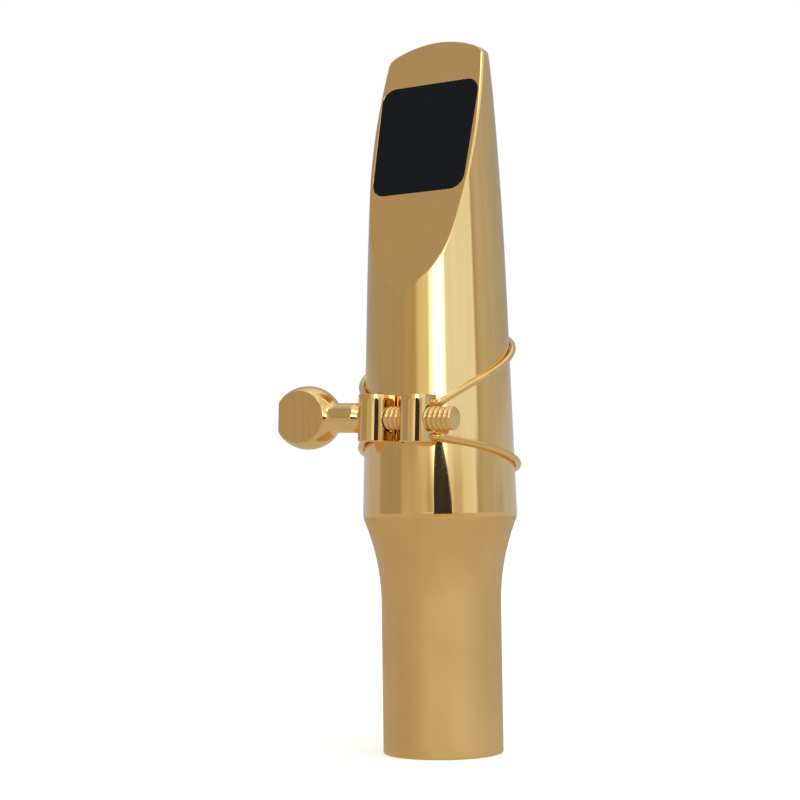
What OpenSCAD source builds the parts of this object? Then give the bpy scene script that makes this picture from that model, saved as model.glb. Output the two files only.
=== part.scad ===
// Metal saxophone mouthpiece with its two-wire ligature, in millimetres.
// The axis of the mouthpiece is Z, from the centre of the shank's end face at the origin up to the tip.
// The beak, the clamp blocks and the screw face -Y. The reed table and the pressure plate face +Y.
// The screw lies along X, with its knob towards -X.

/* [Shank and barrel] */
// Outer radius of the shank
shank_r = 8.9; // [8.6:0.1:9.2]
// Height at which the shank starts to swell into the barrel
cove_z = 22; // [18:1:24]
// Radius of the concave swell between the shank and the barrel
cove_arc_r = 33; // [30:1:36]
// Height of the shoulder, the widest ring of the barrel
shoulder_z = 35; // [34:0.5:37]
// Radius of the barrel at the shoulder
shoulder_r = 11.51; // [11.4:0.01:11.8]
// Radius lost for each millimetre of height above the shoulder
barrel_taper = 0.0304; // [0.02:0.001:0.035]
// Height above which the barrel curves in faster
curve_z = 68.1; // [66:0.1:72]
// Extra radius lost for each square millimetre above that height
curve_rate = 0.0007; // [0:0.0001:0.0008]

/* [Beak and tip] */
// Height of the tip above the end of the shank
tip_z = 106.89; // [105:0.01:108]
// Radius of the rounded tip, seen from the front
tip_arc_r = 17; // [15:0.05:18]
// Radius of the two corners of the tip
tip_corner_r = 4; // [3:0.1:4.5]
// Distance of the beak's flat from the axis at the tip, towards the reed side
beak_tip_y = 1.083; // [1:0.001:1.3]
// Angle between the beak's flat and the axis, in degrees
beak_angle = 15.7; // [15.2:0.1:16]
// Distance down the beak from the tip to where the flat starts to run out
runout_start = 31; // [29:0.5:33]
// Radius of the hollow in which the flat runs out
runout_r = 47; // [40:1:60]

/* [Bite pad] */
// Half width of the pad at its upper edge
pad_half_top = 8.3; // [6:0.05:8.35]
// Half width of the pad at its lower edge
pad_half_bottom = 7.85; // [6:0.05:7.9]
// Distance down the beak from the tip to the pad's upper edge
pad_from_tip = 7.02; // [6:0.01:9]
// Length of the pad along the beak
pad_length = 17.75; // [12:0.05:18]
// Radius of the pad's corners
pad_corner_r = 2.2; // [1:0.1:3]
// Depth of the recess that holds the pad
pad_recess = 0.5; // [0.3:0.1:0.6]
// Height of the pad's face above the beak
pad_proud = 0.1; // [0:0.05:0.3]

/* [Reed table] */
// Distance of the table from the axis at the table's reference height
table_y = 9.3; // [9:0.1:9.6]
// Reference height of the table
table_z = 45; // [44:1:46]
// Angle between the table and the axis, in degrees
table_angle = 4.06; // [3.8:0.02:4.2]
// Height at which the facing curve leaves the table
facing_z = 83; // [82:0.5:86]
// Radius of the facing curve
facing_arc_r = 103; // [100:1:120]

/* [Bore and window] */
// Radius of the bore that takes the neck cork
bore_r = 7.9; // [7.6:0.05:8]
// Depth of that bore
bore_depth = 27; // [24:1:30]
// Radius of the throat above it
throat_r = 6.75; // [6:0.05:7]
// Half width of the window at its rounded lower end
window_half_low = 5.4; // [5:0.1:5.6]
// Half width of the window near the tip
window_half_high = 6.9; // [6.4:0.1:7]
// Height of the window's lower end
window_low_z = 62; // [60:1:66]
// Width of the rail left around the tip
tip_rail = 1.5; // [1.2:0.1:2]

/* [Clamp blocks] */
// Width of a block along the screw
block_w = 4.4; // [4:0.1:4.6]
// Height of a block
block_h = 6.85; // [6.7:0.05:7.1]
// Height of the screw's axis, midway between the blocks
screw_z = 49.15; // [48.5:0.05:50]
// Tilt of the blocks and the screw, with the knob's end raised, in degrees
clamp_tilt = 2.2; // [0:0.1:3]
// Distance of the screw's axis in front of the barrel's axis
screw_y = 13.35; // [13.35:0.05:13.6]
// Distance of the blocks' flat back in front of the barrel's axis
block_back_y = 11.3; // [11.3:0.05:11.4]
// Distance of the blocks' rounded front in front of the barrel's axis
block_front_y = 16; // [15.8:0.05:16.4]
// Radius of that rounded front
block_arc_r = 2.54; // [2.4:0.02:2.9]
// Gap between the two blocks
block_gap = 2.5; // [2:0.05:3]
// Sideways offset of the pair of blocks
pair_x = 0.76; // [0:0.01:1]

/* [Thumb screw] */
// Outer radius of the thread
thread_r = 1.7; // [1.6:0.05:1.7]
// Depth of the thread
thread_depth = 0.28; // [0.2:0.02:0.4]
// Pitch of the thread
thread_pitch = 0.8; // [0.7:0.05:1]
// Running clearance around the thread, on the radius
thread_clearance = 0.05; // [0.02:0.01:0.08]
// Length of thread that stands out past the tapped block
thread_out = 4.1; // [4:0.05:6]
// Radius of the smooth neck
neck_r = 2.18; // [2:0.02:2.2]
// Length of the bevel that ends the neck at the plain block
neck_bevel = 0.8; // [0.4:0.1:1]
// Distance from the plain block to the centre of the knob
knob_reach = 9.58; // [9:0.01:10]
// Radius of the egg-shaped knob, square to the screw
knob_r = 4.7; // [4.5:0.05:5]
// Half length of the whole egg along the screw
knob_half_length = 5.16; // [5:0.02:5.4]
// Radius of the hollow curve between the knob and the neck
knob_fillet = 1.6; // [1:0.1:2]
// Distance from the knob's centre to each of its two flats
knob_flat = 2.65; // [2.4:0.05:2.9]
// Distance from the knob's centre to its flat end
knob_end = 3.62; // [3.2:0.02:3.8]

/* [Wires] */
// Radius of the wires
wire_r = 0.475; // [0.45:0.005:0.5]
// Gap between the wires and the barrel
wire_gap = 0.08; // [0.05:0.01:0.15]
// Height of the upper wire above the screw's axis, at the blocks
upper_rise = 2.3; // [2.25:0.05:2.6]
// Height of the lower wire below the screw's axis, at the blocks
lower_drop = 2.45; // [2.25:0.05:2.6]
// Rise of the upper loop for each millimetre towards the reed side
upper_slope = 0.5; // [0.45:0.01:0.52]
// Fall of the lower loop for each millimetre towards the reed side
lower_slope = 0.233; // [0.22:0.001:0.24]
// Distance of the wires' ends in front of the barrel's axis
wire_end_y = 11.95; // [11.9:0.05:12.3]
// Radius of the bend where a wire leaves its block
wire_bend_r = 0.9; // [0.8:0.1:2]

/* [Pressure plate] */
// Lower end of the plate
plate_low_z = 40.2; // [40:0.1:40.4]
// Upper end of the plate
plate_high_z = 64.6; // [64.4:0.1:66]
// Thickness of the plate
plate_t = 1.1; // [1:0.1:1.2]
// Depth to which the wires are brazed into the plate
braze_depth = 0.2; // [0.1:0.05:0.25]
// Angle that the plate covers around the barrel, in degrees
plate_angle = 46; // [40:1:50]
// Distance of each rib from the middle of the plate
rib_x = 2.8; // [2:0.1:3.4]
// Height of the two ribs that press on the reed
rib_h = 0.3; // [0.2:0.05:0.3]

/* [Hidden] */
$fn = 96;
past = 20;
edge = 0.25;
gold = "goldenrod";
bright_gold = "gold";

plain_face = pair_x - block_gap / 2 - block_w;
tapped_x = pair_x + block_gap / 2;
tapped_face = tapped_x + block_w;
clamp_axis = [cos(clamp_tilt), 0, -sin(clamp_tilt)];

// Radius of the barrel at a height above the shoulder.
function barrel_r(z) =
    shoulder_r - barrel_taper * (z - shoulder_z)
    - (z > curve_z ? curve_rate * pow(z - curve_z, 2) : 0);

// Radius of the concave swell at a height between the shank and the shoulder.
function cove_r(z) = shank_r + cove_arc_r - sqrt(pow(cove_arc_r, 2) - pow(z - cove_z, 2));

// Mouthpiece ------------------------------------------------------------------

cove_top = shoulder_z - 0.4;
barrel_steps = 12;
cove_steps = 14;

module barrel_solid() {
    cove = [for (i = [0:cove_steps]) let (z = cove_z + (cove_top - cove_z) * i / cove_steps) [cove_r(z), z]];
    curved = [for (i = [0:barrel_steps])
        let (z = curve_z + (tip_z + 1 - curve_z) * i / barrel_steps) [barrel_r(z), z]];
    rotate_extrude()
        polygon(concat(
            [[0, 0], [shank_r - edge, 0], [shank_r, edge]],
            cove,
            [[barrel_r(shoulder_z), shoulder_z]],
            curved,
            [[0, tip_z + 1]]
        ));
}

// Everything below the rounded tip and its two corners, seen from the front.
module tip_outline() {
    half_width = 9;
    corner_end = 10;
    corner_steps = 8;
    arc_steps = 32;
    tip_centre_z = tip_z - tip_arc_r;
    corner_x = half_width - tip_corner_r;
    corner_z = tip_centre_z + sqrt(pow(tip_arc_r - tip_corner_r, 2) - pow(corner_x, 2));
    corner_start = acos(corner_x / (tip_arc_r - tip_corner_r));
    corner = [for (i = [0:corner_steps]) let (a = corner_end + (corner_start - corner_end) * i / corner_steps)
        [corner_x + tip_corner_r * cos(a), corner_z + tip_corner_r * sin(a)]];
    side_drop = (past - corner[0][0]) / tan(corner_end);
    translate([0, past, 0])
        rotate([90, 0, 0])
            linear_extrude(height = 2 * past)
                polygon(concat(
                    [[-past, -1], [past, -1], [past, corner[0][1] - side_drop]],
                    corner,
                    [for (i = [1:arc_steps - 1]) let (a = corner_start + (180 - 2 * corner_start) * i / arc_steps)
                        [tip_arc_r * cos(a), tip_centre_z + tip_arc_r * sin(a)]],
                    [for (i = [0:corner_steps]) let (c = corner[corner_steps - i]) [-c[0], c[1]]],
                    [[-past, corner[0][1] - side_drop]]
                ));
}

// Puts its children in the plane of the beak: Y is out of the metal on the reed side, Z runs up to the tip.
module on_beak() {
    translate([0, beak_tip_y, tip_z])
        rotate([-beak_angle, 0, 0])
            children();
}

// Cuts the beak's flat, which ends at its lower edge in a wide hollow.
module beak_cut() {
    on_beak() {
        translate([-past, -2 * past, -runout_start])
            cube([2 * past, 2 * past, runout_start + past]);
        translate([-past, -runout_r, -runout_start])
            rotate([0, 90, 0])
                cylinder(h = 2 * past, r = runout_r);
    }
}

// Puts its children in the plane of the reed table: Y is out of the metal, Z runs up to the tip.
module on_table() {
    translate([0, table_y, table_z])
        rotate([table_angle, 0, 0])
            children();
}

module table_cut() {
    on_table()
        translate([-past, 0, -table_z])
            cube([2 * past, past, 2 * table_z + past]);
}

// The facing: beyond its start the surface is the inside of a long arc that is tangent to the table.
module facing_cut() {
    facing_start = (facing_z - table_z) / cos(table_angle);
    on_table()
        translate([0, 0, facing_start])
            difference() {
                translate([-past, -past / 2, 0])
                    cube([2 * past, past, 2 * past]);
                translate([0, -facing_arc_r, 0])
                    rotate([0, 90, 0])
                        cylinder(r = facing_arc_r, h = 3 * past, center = true, $fn = 360);
            }
}

module neck_bore() {
    step = 2;
    translate([0, 0, -1])
        cylinder(r = bore_r, h = bore_depth + 1);
    translate([0, 0, bore_depth])
        cylinder(r1 = bore_r, r2 = throat_r, h = step);
    translate([0, 0, bore_depth + 1])
        cylinder(r = throat_r, h = window_low_z - bore_depth);
}

// Outline of the window in X and Z: a rounded lower end, sides that flare, and an arc that follows the tip.
module window_outline() {
    low_centre_z = window_low_z + window_half_low;
    tip_centre_z = tip_z - tip_arc_r;
    rail_arc_r = tip_arc_r - tip_rail;
    reach = asin(window_half_high / rail_arc_r);
    low_steps = 18;
    top_steps = 8;
    polygon(concat(
        [for (i = [0:low_steps]) let (a = 180 + 180 * i / low_steps)
            [window_half_low * cos(a), low_centre_z + window_half_low * sin(a)]],
        [for (i = [0:top_steps]) let (a = 90 - reach + 2 * reach * i / top_steps)
            [rail_arc_r * cos(a), tip_centre_z + rail_arc_r * sin(a)]]
    ));
}

// The chamber under the window, bounded on the beak side by the sloping baffle.
module chamber() {
    baffle_z = tip_z - tip_rail;
    baffle_y = beak_tip_y + 0.667;
    baffle_angle = 14;
    intersection() {
        union() {
            translate([0, 0, window_low_z - 2])
                cylinder(r = throat_r, h = 30);
            translate([0, past, 0])
                rotate([90, 0, 0])
                    linear_extrude(height = 1.5 * past)
                        window_outline();
        }
        translate([0, baffle_y, baffle_z])
            rotate([-baffle_angle, 0, 0])
                translate([-past, 0, -3 * past])
                    cube([2 * past, 2 * past, 4 * past]);
    }
}

// Outline of the pad in the plane of the beak: X across, Y up the slope from the tip.
module pad_outline() {
    top = -pad_from_tip - pad_corner_r;
    bottom = -pad_from_tip - pad_length + pad_corner_r;
    high = pad_half_top - pad_corner_r;
    low = pad_half_bottom - pad_corner_r;
    corner_steps = 6;
    corners = [[high, top, 0], [-high, top, 90], [-low, bottom, 180], [low, bottom, 270]];
    polygon([for (c = corners) for (i = [0:corner_steps]) let (a = c[2] + 90 * i / corner_steps)
        [c[0] + pad_corner_r * cos(a), c[1] + pad_corner_r * sin(a)]]);
}

// A slab of the pad's outline that reaches from the bottom of its recess to a height above the beak.
module pad_slab(height) {
    on_beak()
        translate([0, pad_recess, 0])
            rotate([90, 0, 0])
                linear_extrude(height = pad_recess + height)
                    pad_outline();
}

module mouthpiece_body() {
    color(gold)
    difference() {
        intersection() {
            barrel_solid();
            tip_outline();
        }
        beak_cut();
        pad_slab(1);
        table_cut();
        facing_cut();
        neck_bore();
        chamber();
    }
}

module bite_pad() {
    color([0.1, 0.1, 0.11])
    pad_slab(pad_proud);
}

// Ligature --------------------------------------------------------------------

// Tilts its children about the middle of the clamp.
module on_clamp() {
    translate([pair_x, 0, screw_z])
        rotate([0, clamp_tilt, 0])
            translate([-pair_x, 0, -screw_z])
                children();
}

// One clamp block: flat back and sides, a front that is part of a turned bar, drilled along X for the screw.
module clamp_block(x) {
    arc_y = block_front_y - block_arc_r;
    difference() {
        intersection() {
            translate([x, -block_front_y - 1, screw_z - block_h])
                cube([block_w, block_front_y + 1 - block_back_y, 2 * block_h]);
            translate([x + block_w / 2, -arc_y, screw_z - block_h / 2]) {
                rotate_extrude()
                    polygon([
                        [0, 0],
                        [block_arc_r - edge, 0],
                        [block_arc_r, edge],
                        [block_arc_r, block_h - edge],
                        [block_arc_r - edge, block_h],
                        [0, block_h]
                    ]);
                translate([-block_w, 0, 0])
                    cube([2 * block_w, block_w, block_h]);
            }
        }
        translate([x - 1, -screw_y, screw_z])
            rotate([0, 90, 0])
                cylinder(r = thread_r + thread_clearance, h = block_w + 2);
    }
}

module plain_block() {
    color(bright_gold)
    on_clamp()
        clamp_block(plain_face);
}

module tapped_block() {
    color(bright_gold)
    on_clamp()
        clamp_block(tapped_x);
}

// The knob's outline is an ellipse. These give a point on it, and the direction it faces there, for a turn about
// its centre, both as radius and distance along the screw.
function egg_point(turn) = [knob_r * cos(turn), knob_half_length * sin(turn)];
function egg_facing(turn) =
    let (out = [cos(turn) / knob_r, sin(turn) / knob_half_length])
    out / norm(out);

// The turn at which the hollow curve into the neck touches the egg, found by halving.
function hollow_turn(low, high, halvings) =
    let (
        middle = (low + high) / 2,
        centre = egg_point(middle) + knob_fillet * egg_facing(middle)
    )
    halvings == 0
        ? middle
        : centre[0] > neck_r + knob_fillet
            ? hollow_turn(middle, high, halvings - 1)
            : hollow_turn(low, middle, halvings - 1);

// Outline of the knob in radius and distance from its centre, from the flat end to the neck.
function knob_outline() =
    let (
        egg_steps = 18,
        hollow_steps = 7,
        first = -asin(knob_end / knob_half_length),
        touch = hollow_turn(0, 90, 30),
        centre = egg_point(touch) + knob_fillet * egg_facing(touch),
        facing = atan2(egg_facing(touch)[1], egg_facing(touch)[0])
    )
    concat(
        [[0, -knob_end]],
        [for (i = [0:egg_steps]) egg_point(first + (touch - first) * i / egg_steps)],
        [for (i = [1:hollow_steps]) let (a = 180 + facing * (1 - i / hollow_steps))
            centre + knob_fillet * [cos(a), sin(a)]]
    );

// Outline of the neck and the thread, from the neck's bevel to the end of the screw.
function thread_outline() =
    let (
        seat_r = thread_r + thread_clearance + 0.1,
        shoulder = knob_reach - 0.03,
        thread_start = knob_reach + block_w,
        screw_end = knob_reach + tapped_face - plain_face + thread_out,
        bevel = 0.35,
        ridges = floor((screw_end - bevel - thread_start) / thread_pitch),
        groove_half = 0.22 * thread_pitch
    )
    concat(
        [[neck_r, shoulder - neck_bevel], [seat_r, shoulder], [thread_r, shoulder]],
        [for (i = [0:ridges - 1]) let (s = thread_start + i * thread_pitch)
            each [
                [thread_r, s],
                [thread_r - thread_depth, s + groove_half],
                [thread_r, s + 2 * groove_half]
            ]],
        [[thread_r, screw_end - bevel], [thread_r - bevel, screw_end], [0, screw_end]]
    );

// Turned in one piece, then cut flat on two sides of the knob.
module thumb_screw() {
    color(bright_gold)
    on_clamp()
        translate([plain_face - knob_reach, -screw_y, screw_z])
            intersection() {
                rotate([0, 90, 0])
                    rotate_extrude()
                        polygon(concat(knob_outline(), thread_outline()));
                translate([-past, -knob_flat, -past])
                    cube([3 * past, 2 * knob_flat, 2 * past]);
            }
}

// Wires -----------------------------------------------------------------------

bend_steps = 5;
loop_steps = 18;
wire_sides = 10;

// A wire's loop lies in a plane that tilts with the slope, and hugs the tapered barrel.
// Seen along Z it is a circle whose centre is shifted a little in Y.
function loop_r(z0, slope) = barrel_r(z0 + slope * wire_end_y) + wire_r + wire_gap;
function loop_y(z0, slope) = -barrel_taper * slope * loop_r(z0, slope);

// Place of a wire's end on the side face of a block, in X and Z, for a height above or below the screw.
function end_x(face, rise) = pair_x + (face - pair_x) * cos(clamp_tilt) + rise * sin(clamp_tilt);
function end_z(face, rise) = screw_z - (face - pair_x) * sin(clamp_tilt) + rise * cos(clamp_tilt);

// Heading of the straight run that leaves a bend at distance x from the middle and touches the loop.
function run_heading(x, z0, slope) =
    let (drop = wire_end_y + loop_y(z0, slope) - wire_bend_r)
    180 - asin((loop_r(z0, slope) - wire_bend_r) / norm([x, drop])) - atan2(drop, x);

// Half a wire seen along Z, from the side face of a block to the middle of the reed side.
function half_plan(x, z0, slope) =
    let (
        heading = run_heading(x, z0, slope),
        centre = [x, wire_bend_r - wire_end_y],
        r = loop_r(z0, slope),
        start = heading - 90
    )
    concat(
        [for (i = [0:bend_steps]) let (a = heading * i / bend_steps)
            centre + wire_bend_r * [sin(a), -cos(a)]],
        [for (i = [0:loop_steps]) let (a = start + (90 - start) * i / loop_steps)
            [r * cos(a), loop_y(z0, slope) + r * sin(a)]]
    );

// The same half in space. The loop's plane is left gently, over the straight run, to meet the tilted block.
function half_route(side, face, rise, slope) =
    let (
        z0 = screw_z + rise,
        lift = end_z(face, rise) - z0,
        run_end_y = wire_end_y / 2
    )
    [for (p = half_plan(side * end_x(face, rise), z0, slope))
        let (near = max(0, min(1, (-p[1] - run_end_y) / (wire_end_y - run_end_y))))
        [side * p[0], p[1], z0 + slope * (p[1] + wire_end_y) + lift * near * near * (3 - 2 * near)]];

// The whole wire, from the tapped block round the reed side to the plain block.
function wire_route(rise, slope) =
    let (
        right = half_route(1, tapped_face, rise, slope),
        left = half_route(-1, plain_face, rise, slope),
        count = len(left)
    )
    concat(right, [for (i = [2:count]) left[count - i]]);

// Direction of the route at one of its points. Both ends are square to the blocks.
function direction(route, i) =
    (i == 0 || i == len(route) - 1)
        ? clamp_axis
        : let (step = route[i + 1] - route[i - 1]) step / norm(step);

// A round tube swept along a route that lies almost in a plane.
module swept_tube(route, slope) {
    normal = [0, -slope, 1];
    count = len(route);
    points = [for (i = [0:count - 1])
        let (
            ahead = direction(route, i),
            across = cross(ahead, normal),
            side = across / norm(across),
            up = cross(side, ahead)
        )
        for (k = [0:wire_sides - 1]) let (a = 360 * k / wire_sides)
            route[i] + wire_r * (cos(a) * side + sin(a) * up)];
    walls = [for (i = [0:count - 2]) for (k = [0:wire_sides - 1])
        let (
            a = i * wire_sides + k,
            b = i * wire_sides + (k + 1) % wire_sides
        )
        each [[a, b, b + wire_sides], [a, b + wire_sides, a + wire_sides]]];
    first_cap = [for (k = [0:wire_sides - 1]) wire_sides - 1 - k];
    last_cap = [for (k = [0:wire_sides - 1]) (count - 1) * wire_sides + k];
    polyhedron(points, concat(walls, [first_cap, last_cap]));
}

module upper_wire() {
    color(bright_gold)
    swept_tube(wire_route(upper_rise, upper_slope), upper_slope);
}

module lower_wire() {
    color(bright_gold)
    swept_tube(wire_route(-lower_drop, -lower_slope), -lower_slope);
}

// The plate that presses on the reed: a strip of a cone inside both wires, with two ribs on its inner face.
module reed_plate() {
    plate_out = wire_gap + braze_depth;
    plate_in = plate_out - plate_t;
    rib_top_r = barrel_r(plate_low_z) + plate_in;
    length = plate_high_z - plate_low_z;
    lean = atan(barrel_taper);
    color(bright_gold)
    union() {
        rotate([0, 0, 90 - plate_angle / 2])
            rotate_extrude(angle = plate_angle)
                polygon([
                    [barrel_r(plate_low_z) + plate_in, plate_low_z],
                    [barrel_r(plate_low_z) + plate_out, plate_low_z],
                    [barrel_r(plate_high_z) + plate_out, plate_high_z],
                    [barrel_r(plate_high_z) + plate_in, plate_high_z]
                ]);
        for (side = [-1, 1])
            translate([side * rib_x, sqrt(pow(rib_top_r, 2) - pow(rib_x, 2)), plate_low_z])
                rotate([lean, 0, 0])
                    translate([-0.5, -rib_h, 0.5])
                        cube([1, rib_h + plate_t / 2, length - 1]);
    }
}

mouthpiece_body();
bite_pad();
reed_plate();
upper_wire();
lower_wire();
plain_block();
tapped_block();
thumb_screw();
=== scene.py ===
import math

import bmesh
import bpy
import numpy as np
from mathutils import Matrix, Vector


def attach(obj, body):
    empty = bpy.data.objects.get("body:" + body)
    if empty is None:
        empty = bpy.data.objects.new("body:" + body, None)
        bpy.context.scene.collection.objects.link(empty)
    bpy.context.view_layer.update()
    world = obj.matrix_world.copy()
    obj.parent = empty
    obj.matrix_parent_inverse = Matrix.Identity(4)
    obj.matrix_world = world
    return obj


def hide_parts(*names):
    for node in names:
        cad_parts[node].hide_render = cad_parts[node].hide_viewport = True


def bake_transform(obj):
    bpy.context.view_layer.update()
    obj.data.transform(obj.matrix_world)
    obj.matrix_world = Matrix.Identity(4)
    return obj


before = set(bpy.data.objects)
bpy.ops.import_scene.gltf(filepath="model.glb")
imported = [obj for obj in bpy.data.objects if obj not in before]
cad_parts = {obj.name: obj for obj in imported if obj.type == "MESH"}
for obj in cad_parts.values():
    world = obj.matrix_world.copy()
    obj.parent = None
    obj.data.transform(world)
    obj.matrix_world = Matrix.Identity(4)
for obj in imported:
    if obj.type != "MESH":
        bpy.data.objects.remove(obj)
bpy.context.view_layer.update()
scene = bpy.context.scene

# Every length below is in millimetres, as in the CAD source. Meshes are scaled to metres when they are finished.
MM = 0.001
SHANK_R, COVE_Z, COVE_ARC, SHOULDER_Z, SHOULDER_R = 8.9, 22.0, 33.0, 35.0, 11.51
TAPER, CURVE_Z, CURVE_RATE = 0.0304, 68.1, 0.0007
TIP_Z, TIP_ARC, TIP_CORNER, HALF_WIDTH, BEAK_Y, BEAK_ANGLE = 106.89, 17.0, 4.0, 9.0, 1.083, math.radians(15.7)
RUNOUT_START, RUNOUT_R = 31.0, 47.0
TABLE_Y, TABLE_Z, TABLE_ANGLE, FACING_Z, FACING_ARC = 9.3, 45.0, math.radians(4.06), 83.0, 103.0
BORE_R, BORE_DEPTH, THROAT_R, WINDOW_Z = 7.9, 27.0, 6.75, 62.0
PAD_TOP, PAD_BOTTOM, PAD_FROM_TIP, PAD_LENGTH, PAD_CORNER, PAD_DEPTH, PAD_PROUD = 8.3, 7.85, 7.02, 17.75, 2.2, 0.5, 0.1
BLOCK_W, BLOCK_H, BLOCK_GAP, BLOCK_BACK, BLOCK_FRONT, BLOCK_ARC = 4.4, 6.85, 2.5, 11.3, 16.0, 2.54
SCREW_Y, SCREW_Z, PAIR_X, TILT = 13.35, 49.15, 0.76, math.radians(2.2)
THREAD_R, THREAD_DEPTH, PITCH, THREAD_OUT, NECK_R, NECK_BEVEL = 1.7, 0.28, 0.8, 4.1, 2.18, 0.8
KNOB_REACH, KNOB_R, KNOB_HALF, KNOB_FILLET, KNOB_FLAT, KNOB_END = 9.58, 4.7, 5.16, 1.6, 2.65, 3.62
KNOB_SOFT, THREAD_SOFT = 0.09, 0.42
WIRE_R, WIRE_GAP, WIRE_END_Y, WIRE_BEND, WIRE_SUNK = 0.475, 0.08, 11.95, 0.9, 0.35
# each wire's height on the blocks, and its slope towards the reed side
WIRES = (("upper_wire", 2.3, 0.5), ("lower_wire", -2.45, -0.233))
PLATE_LOW, PLATE_HIGH, PLATE_T, BRAZE, PLATE_ANGLE, RIB_X, RIB_H = 40.2, 64.6, 1.1, 0.2, math.radians(46), 2.8, 0.3
PLAIN_FACE = PAIR_X - BLOCK_GAP / 2 - BLOCK_W
TAPPED_X = PAIR_X + BLOCK_GAP / 2
TAPPED_FACE = TAPPED_X + BLOCK_W
SCREW_END = KNOB_REACH + TAPPED_FACE - PLAIN_FACE + THREAD_OUT
PHOTO_AZIMUTH = math.radians(31.42)


# Mesh helpers --------------------------------------------------------------------------------------------------------
def make(name, points, faces):
    """A new mesh object in millimetres, with its normals made to face out."""
    mesh = bpy.data.meshes.new(name)
    mesh.from_pydata(np.asarray(points, float).tolist(), [], faces)
    bm = bmesh.new()
    bm.from_mesh(mesh)
    bmesh.ops.recalc_face_normals(bm, faces=bm.faces[:])
    bm.to_mesh(mesh)
    bm.free()
    obj = bpy.data.objects.new(name, mesh)
    scene.collection.objects.link(obj)
    return obj


def grid_faces(rows, cols):
    """Quads between the rows of a grid of points, each row closed round."""
    i = np.arange(rows - 1)[:, None]
    j = np.arange(cols)[None, :]
    a, b = i * cols + j, i * cols + (j + 1) % cols
    return np.stack([a, b, b + cols, a + cols], -1).reshape(-1, 4).tolist()


def fan(ring, centre):
    """Triangles from a ring of point numbers to one centre point."""
    return [[ring[k], ring[(k + 1) % len(ring)], centre] for k in range(len(ring))]


def smax(a, b, k):
    """The larger of two distances, with the corner between them rounded over k."""
    h = np.maximum(k - np.abs(a - b), 0) / k
    return np.maximum(a, b) + h * h * k / 4


def combine(target, other, operation="DIFFERENCE"):
    """Applies a boolean to target, and removes the other object."""
    mod = target.modifiers.new("combine", "BOOLEAN")
    mod.object, mod.operation, mod.solver = other, operation, "MANIFOLD"
    found = target.evaluated_get(bpy.context.evaluated_depsgraph_get())
    mesh = bpy.data.meshes.new_from_object(found)
    target.modifiers.clear()
    old, target.data = target.data, mesh
    bpy.data.meshes.remove(old)
    bpy.data.objects.remove(other)
    return target


def join(target, *others):
    """Joins other meshes into target as loose parts."""
    bm = bmesh.new()
    for o in (target, *others):
        bm.from_mesh(o.data)
    bm.to_mesh(target.data)
    bm.free()
    for o in others:
        bpy.data.objects.remove(o)
    return target


def finish_mesh(obj, sharp=35, matrix=None):
    """Places a mesh, turns it to metres, and shades it smooth with sharp edges above an angle."""
    mesh = obj.data
    mesh.transform(matrix or Matrix.Identity(4))
    mesh.transform(Matrix.Scale(MM, 4))
    mesh.shade_smooth()
    mesh.set_sharp_from_angle(angle=math.radians(sharp))
    mesh.update()
    return obj


def lathe(name, profile, sides=192, matrix=None):
    """A closed solid of revolution about Z from (radius, height) points that start and end on the axis."""
    profile = np.array(profile, float)
    inner = profile[1:-1]
    a = np.arange(sides) * 2 * np.pi / sides
    ring = np.stack([np.cos(a), np.sin(a)], -1)
    points = np.concatenate([
        np.concatenate([inner[:, None, :1] * ring[None], np.repeat(inner[:, None, 1:], sides, 1)], -1).reshape(-1, 3),
        [[0, 0, profile[0, 1]], [0, 0, profile[-1, 1]]]])
    n = len(inner)
    faces = grid_faces(n, sides)
    faces += fan(list(range(sides)), n * sides)
    faces += fan([(n - 1) * sides + k for k in range(sides)], n * sides + 1)
    obj = make(name, points, faces)
    if matrix:
        obj.data.transform(matrix)
    return obj


def outline_solid(name, outline, low, high, matrix):
    """A flat outline in X and Y, extruded along Z from low to high, then placed."""
    n = len(outline)
    points = [[x, y, low] for x, y in outline] + [[x, y, high] for x, y in outline]
    faces = grid_faces(2, n) + [list(range(n))[::-1], list(range(n, 2 * n))]
    obj = make(name, points, faces)
    obj.data.transform(matrix)
    return obj


# Mouthpiece ----------------------------------------------------------------------------------------------------------
def cone_r(z):
    """Radius of the barrel, also below its shoulder."""
    return SHOULDER_R - TAPER * (z - SHOULDER_Z) - CURVE_RATE * np.maximum(z - CURVE_Z, 0) ** 2


def outside_r(z):
    """Radius of the turned outside, with the shoulder's ridge and the shank's lower edge slightly rounded."""
    rise = np.clip(z - COVE_Z, 0, 22)
    cove = SHANK_R + COVE_ARC - np.sqrt(COVE_ARC ** 2 - rise ** 2)
    # past the shoulder the cove is out of the way
    cove = np.where(z > COVE_Z + 21, 40, cove)
    r = -smax(-cone_r(z), -cove, 0.32)
    edge = 0.3
    return r - np.where(z < edge, edge - np.sqrt(np.maximum(edge ** 2 - (edge - z) ** 2, 0)), 0)


def beak_out(y, z):
    """Distance in front of the beak's flat, which ends at its lower edge in a wide hollow."""
    out = -(y - BEAK_Y) * math.cos(BEAK_ANGLE) + (z - TIP_Z) * math.sin(BEAK_ANGLE)
    past = (y - BEAK_Y) * math.sin(BEAK_ANGLE) + (z - TIP_Z) * math.cos(BEAK_ANGLE) + RUNOUT_START
    return np.where(past < 0, RUNOUT_R - np.hypot(RUNOUT_R - out, past), out)


def table_out(y, z):
    """Distance behind the reed table and the facing curve that follows it."""
    c, s = math.cos(TABLE_ANGLE), math.sin(TABLE_ANGLE)
    out, along = (y - TABLE_Y) * c + (z - TABLE_Z) * s, -(y - TABLE_Y) * s + (z - TABLE_Z) * c
    past = along - (FACING_Z - TABLE_Z) / c
    return np.where(past > 0, np.hypot(out + FACING_ARC, past) - FACING_ARC, out)


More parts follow.
